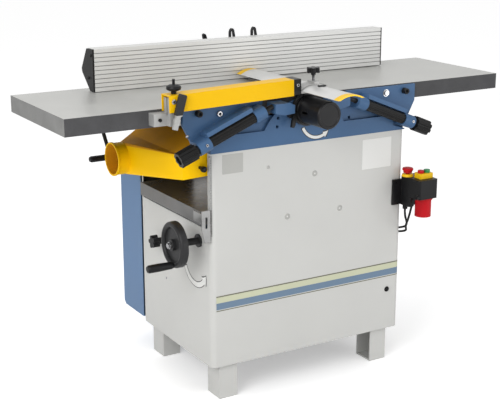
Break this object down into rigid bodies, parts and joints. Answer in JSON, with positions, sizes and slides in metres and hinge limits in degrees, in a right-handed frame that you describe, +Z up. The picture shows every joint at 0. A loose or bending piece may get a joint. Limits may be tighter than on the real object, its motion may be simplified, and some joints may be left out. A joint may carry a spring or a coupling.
{
  "type": "combination planer thicknesser",
  "caption": "Planer thicknesser with folding planing tables, tilting fence, bridge guard, thicknessing bed raised by a handwheel, swing dust hood and sheet cabinet on channel feet.",
  "frame": {"origin": "on the floor in the middle of the four foot holes", "axes": "+X along the tables from the outfeed end to the infeed end, +Y from the operator's side to the rear, +Z up"},
  "size_m": [1.526, 0.867, 1.0813],
  "materials": {
    "cabinet_paint": "fine textured paint",
    "blue_paint": "hammered paint on castings and sheet",
    "yellow_paint": "smooth gloss paint",
    "table_iron": "ground top, painted edges",
    "bare_steel": "turned or drawn",
    "grey_iron": "painted casting",
    "motor_paint": "satin",
    "fence_alloy": "anodised extrusion",
    "plate_alloy": "mill finish",
    "black_plastic": "moulded",
    "charcoal_plastic": "moulded",
    "belt_rubber": "matt",
    "lead_rubber": "matt",
    "red_plastic": "moulded",
    "green_plastic": "moulded",
    "yellow_plastic": "moulded"
  },
  "bodies": {
    "machine_frame": {"base_cabinet": "cabinet_paint", "machine_feet": "cabinet_paint", "front_cheek": "blue_paint", "rear_cheek": "blue_paint", "frame_bars": "bare_steel", "rear_cover": "blue_paint", "motor": "motor_paint", "drive_belts": "belt_rubber", "bearing_blocks": "bare_steel", "dust_hood": "yellow_paint", "chuck_guard": "black_plastic", "chuck_guard_collar": "charcoal_plastic", "handwheel_bush": "charcoal_plastic", "lift_base": "grey_iron", "switch_box": "black_plastic", "switch_bezels": "yellow_plastic", "power_inlet": "red_plastic", "switch_leads": "lead_rubber"},
    "outfeed_wing": {"outfeed_table": "table_iron", "outfeed_lock_bracket": "blue_paint", "outfeed_lock_grip": "black_plastic", "fence_guide": "grey_iron", "guard_bracket": "plate_alloy"},
    "outfeed_lock": {"outfeed_lock_screw": "black_plastic"},
    "infeed_lifter": {"infeed_hinge_slide": "grey_iron"},
    "infeed_wing": {"infeed_table": "table_iron", "infeed_lock_bracket": "blue_paint", "infeed_lock_grip": "black_plastic"},
    "infeed_lock": {"infeed_lock_screw": "black_plastic"},
    "bed": {"thicknesser_bed": "table_iron", "lift_screw": "bare_steel", "height_pointer": "bare_steel"},
    "gear_nut": {"lift_gear_nut": "bare_steel"},
    "wheel": {"handwheel": "charcoal_plastic", "handwheel_shaft": "bare_steel"},
    "wheel_grip": {"handwheel_grip": "black_plastic"},
    "bed_lock": {"bed_lock_knob": "black_plastic"},
    "cutter": {"cutterblock": "bare_steel", "planer_knives": "bare_steel", "cutterblock_pulley": "grey_iron"},
    "motor_rotor": {"motor_pulley": "grey_iron"},
    "feed_in_roller": {"infeed_roller": "bare_steel"},
    "feed_out_roller": {"outfeed_roller": "belt_rubber"},
    "feed_handle": {"feed_lever": "black_plastic"},
    "carriage": {"fence_carriage": "grey_iron"},
    "fence": {"fence_profile": "fence_alloy", "fence_end_plates": "black_plastic"},
    "slide_clamp": {"fence_slide_lever": "black_plastic"},
    "tilt_clamp_left": {"fence_tilt_lever_left": "black_plastic"},
    "tilt_clamp_right": {"fence_tilt_lever_right": "black_plastic"},
    "guard_beam": {"guard_arm": "yellow_paint", "guard_carrier": "plate_alloy"},
    "guard_knob": {"guard_height_knob": "black_plastic"},
    "guard_clamp": {"guard_clamp_lever": "plate_alloy"},
    "guard_cover": {"guard_plate": "plate_alloy"},
    "cover_knob": {"guard_plate_knob": "black_plastic"},
    "chuck_lever": {"chuck_guard_lever": "black_plastic"},
    "stop_mushroom": {"emergency_stop": "red_plastic"},
    "start_key": {"start_button": "green_plastic"},
    "stop_key": {"stop_button": "red_plastic"}
  },
  "joints": [
    {"name": "outfeed_tilt", "type": "hinge", "parent": "machine_frame", "child": "outfeed_wing", "pos_m": [-0.257, 0.235, 0.862], "axis": [-1, 0, 0], "range_deg": [0, 88]},
    {"name": "infeed_lift", "type": "slide", "parent": "machine_frame", "child": "infeed_lifter", "axis": [0, 0, 1], "range_m": [-0.003, 0.001]},
    {"name": "infeed_tilt", "type": "hinge", "parent": "infeed_lifter", "child": "infeed_wing", "pos_m": [0.213, 0.235, 0.862], "axis": [-1, 0, 0], "range_deg": [0, 88]},
    {"name": "outfeed_lock_turn", "type": "hinge", "parent": "outfeed_wing", "child": "outfeed_lock", "pos_m": [-0.2935, -0.272, 0.85], "axis": [-0.9272, 0, -0.3746], "range_deg": [0, 270]},
    {"name": "infeed_lock_turn", "type": "hinge", "parent": "infeed_wing", "child": "infeed_lock", "pos_m": [0.2495, -0.272, 0.85], "axis": [0.9272, 0, -0.3746], "range_deg": [0, 270]},
    {"name": "handwheel_turn", "type": "hinge", "parent": "machine_frame", "child": "wheel", "pos_m": [-0.432, -0.163, 0.499], "axis": [1, 0, 0], "range_deg": [-1352, 6302]},
    {"name": "bed_lift", "type": "slide", "parent": "machine_frame", "child": "bed", "axis": [0, 0, 1], "range_m": [-0.015, 0.07]},
    {"name": "gear_nut_turn", "type": "hinge", "parent": "machine_frame", "child": "gear_nut", "pos_m": [0.02, -0.163, 0.46], "axis": [0, 0, 1], "range_deg": [-1352, 6302]},
    {"name": "handwheel_grip_spin", "type": "hinge", "parent": "wheel", "child": "wheel_grip", "pos_m": [-0.48, -0.17727, 0.44175], "axis": [1, 0, 0], "continuous": true},
    {"name": "bed_lock_turn", "type": "hinge", "parent": "machine_frame", "child": "bed_lock", "pos_m": [-0.38, 0.075, 0.436], "axis": [1, 0, 0], "range_deg": [0, 360]},
    {"name": "cutter_spin", "type": "hinge", "parent": "machine_frame", "child": "cutter", "pos_m": [-0.022, 0, 0.8805], "axis": [0, 1, 0], "continuous": true},
    {"name": "motor_spin", "type": "hinge", "parent": "machine_frame", "child": "motor_rotor", "pos_m": [0.19, 0.22, 0.262], "axis": [0, 1, 0], "continuous": true},
    {"name": "feed_in_spin", "type": "hinge", "parent": "machine_frame", "child": "feed_in_roller", "pos_m": [-0.1, 0, 0.85], "axis": [0, 1, 0], "continuous": true},
    {"name": "feed_out_spin", "type": "hinge", "parent": "machine_frame", "child": "feed_out_roller", "pos_m": [0.056, 0, 0.85], "axis": [0, 1, 0], "continuous": true},
    {"name": "feed_lever_swing", "type": "hinge", "parent": "machine_frame", "child": "feed_handle", "pos_m": [-0.4, 0.215, 0.815], "axis": [1, 0, 0], "range_deg": [-10, 30]},
    {"name": "fence_slide", "type": "slide", "parent": "outfeed_wing", "child": "carriage", "axis": [0, 1, 0], "range_m": [0, 0.085]},
    {"name": "fence_tilt", "type": "hinge", "parent": "carriage", "child": "fence", "pos_m": [-0.005, 0.156, 0.94], "axis": [-1, 0, 0], "range_deg": [0, 45]},
    {"name": "fence_slide_lever_turn", "type": "hinge", "parent": "carriage", "child": "slide_clamp", "pos_m": [-0.062, 0.246, 0.97], "axis": [0, 0, -1], "range_deg": [0, 60]},
    {"name": "tilt_lever_left_turn", "type": "hinge", "parent": "fence", "child": "tilt_clamp_left", "pos_m": [-0.046, 0.157, 1.05], "axis": [0, 0, 1], "range_deg": [-80, 80]},
    {"name": "tilt_lever_right_turn", "type": "hinge", "parent": "fence", "child": "tilt_clamp_right", "pos_m": [0.036, 0.157, 1.05], "axis": [0, 0, 1], "range_deg": [-80, 80]},
    {"name": "guard_raise", "type": "slide", "parent": "outfeed_wing", "child": "guard_beam", "axis": [0, 0, 1], "range_m": [0, 0.05]},
    {"name": "guard_height_knob_turn", "type": "hinge", "parent": "guard_beam", "child": "guard_knob", "pos_m": [-0.474, -0.2655, 0.985], "axis": [0, 0, 1], "range_deg": [-2, 6002]},
    {"name": "guard_clamp_turn", "type": "hinge", "parent": "outfeed_wing", "child": "guard_clamp", "pos_m": [-0.482, -0.297, 0.901], "axis": [0, 1, 0], "range_deg": [-35, 35]},
    {"name": "guard_plate_slide", "type": "slide", "parent": "guard_beam", "child": "guard_cover", "axis": [0, 1, 0], "range_m": [-0.3, 0]},
    {"name": "guard_plate_knob_turn", "type": "hinge", "parent": "guard_beam", "child": "cover_knob", "pos_m": [-0.01097, -0.2655, 0.9595], "axis": [-0.0279, 0, 0.9996], "range_deg": [0, 270]},
    {"name": "chuck_guard_lever_turn", "type": "hinge", "parent": "machine_frame", "child": "chuck_lever", "pos_m": [-0.0745, -0.262, 0.8725], "axis": [0, 1, 0], "range_deg": [-15, 30]},
    {"name": "emergency_stop_press", "type": "slide", "parent": "machine_frame", "child": "stop_mushroom", "axis": [0, 0, -1], "range_m": [0, 0.004]},
    {"name": "start_press", "type": "slide", "parent": "machine_frame", "child": "start_key", "axis": [0, 0, -1], "range_m": [0, 0.003], "stiffness_N_per_m": 400},
    {"name": "stop_press", "type": "slide", "parent": "machine_frame", "child": "stop_key", "axis": [0, 0, -1], "range_m": [0, 0.003], "stiffness_N_per_m": 400}
  ],
  "couplings": [
    {"joint": "infeed_tilt", "follows": "outfeed_tilt", "ratio": 1},
    {"joint": "handwheel_turn", "follows": "bed_lift", "rad_per_m": 1570.8},
    {"joint": "gear_nut_turn", "follows": "bed_lift", "rad_per_m": 1570.8},
    {"joint": "motor_spin", "follows": "cutter_spin", "ratio": 0.54546},
    {"joint": "feed_in_spin", "follows": "cutter_spin", "ratio": -0.0124},
    {"joint": "feed_out_spin", "follows": "cutter_spin", "ratio": -0.0124},
    {"joint": "guard_height_knob_turn", "follows": "guard_raise", "rad_per_m": 2094.4}
  ]
}
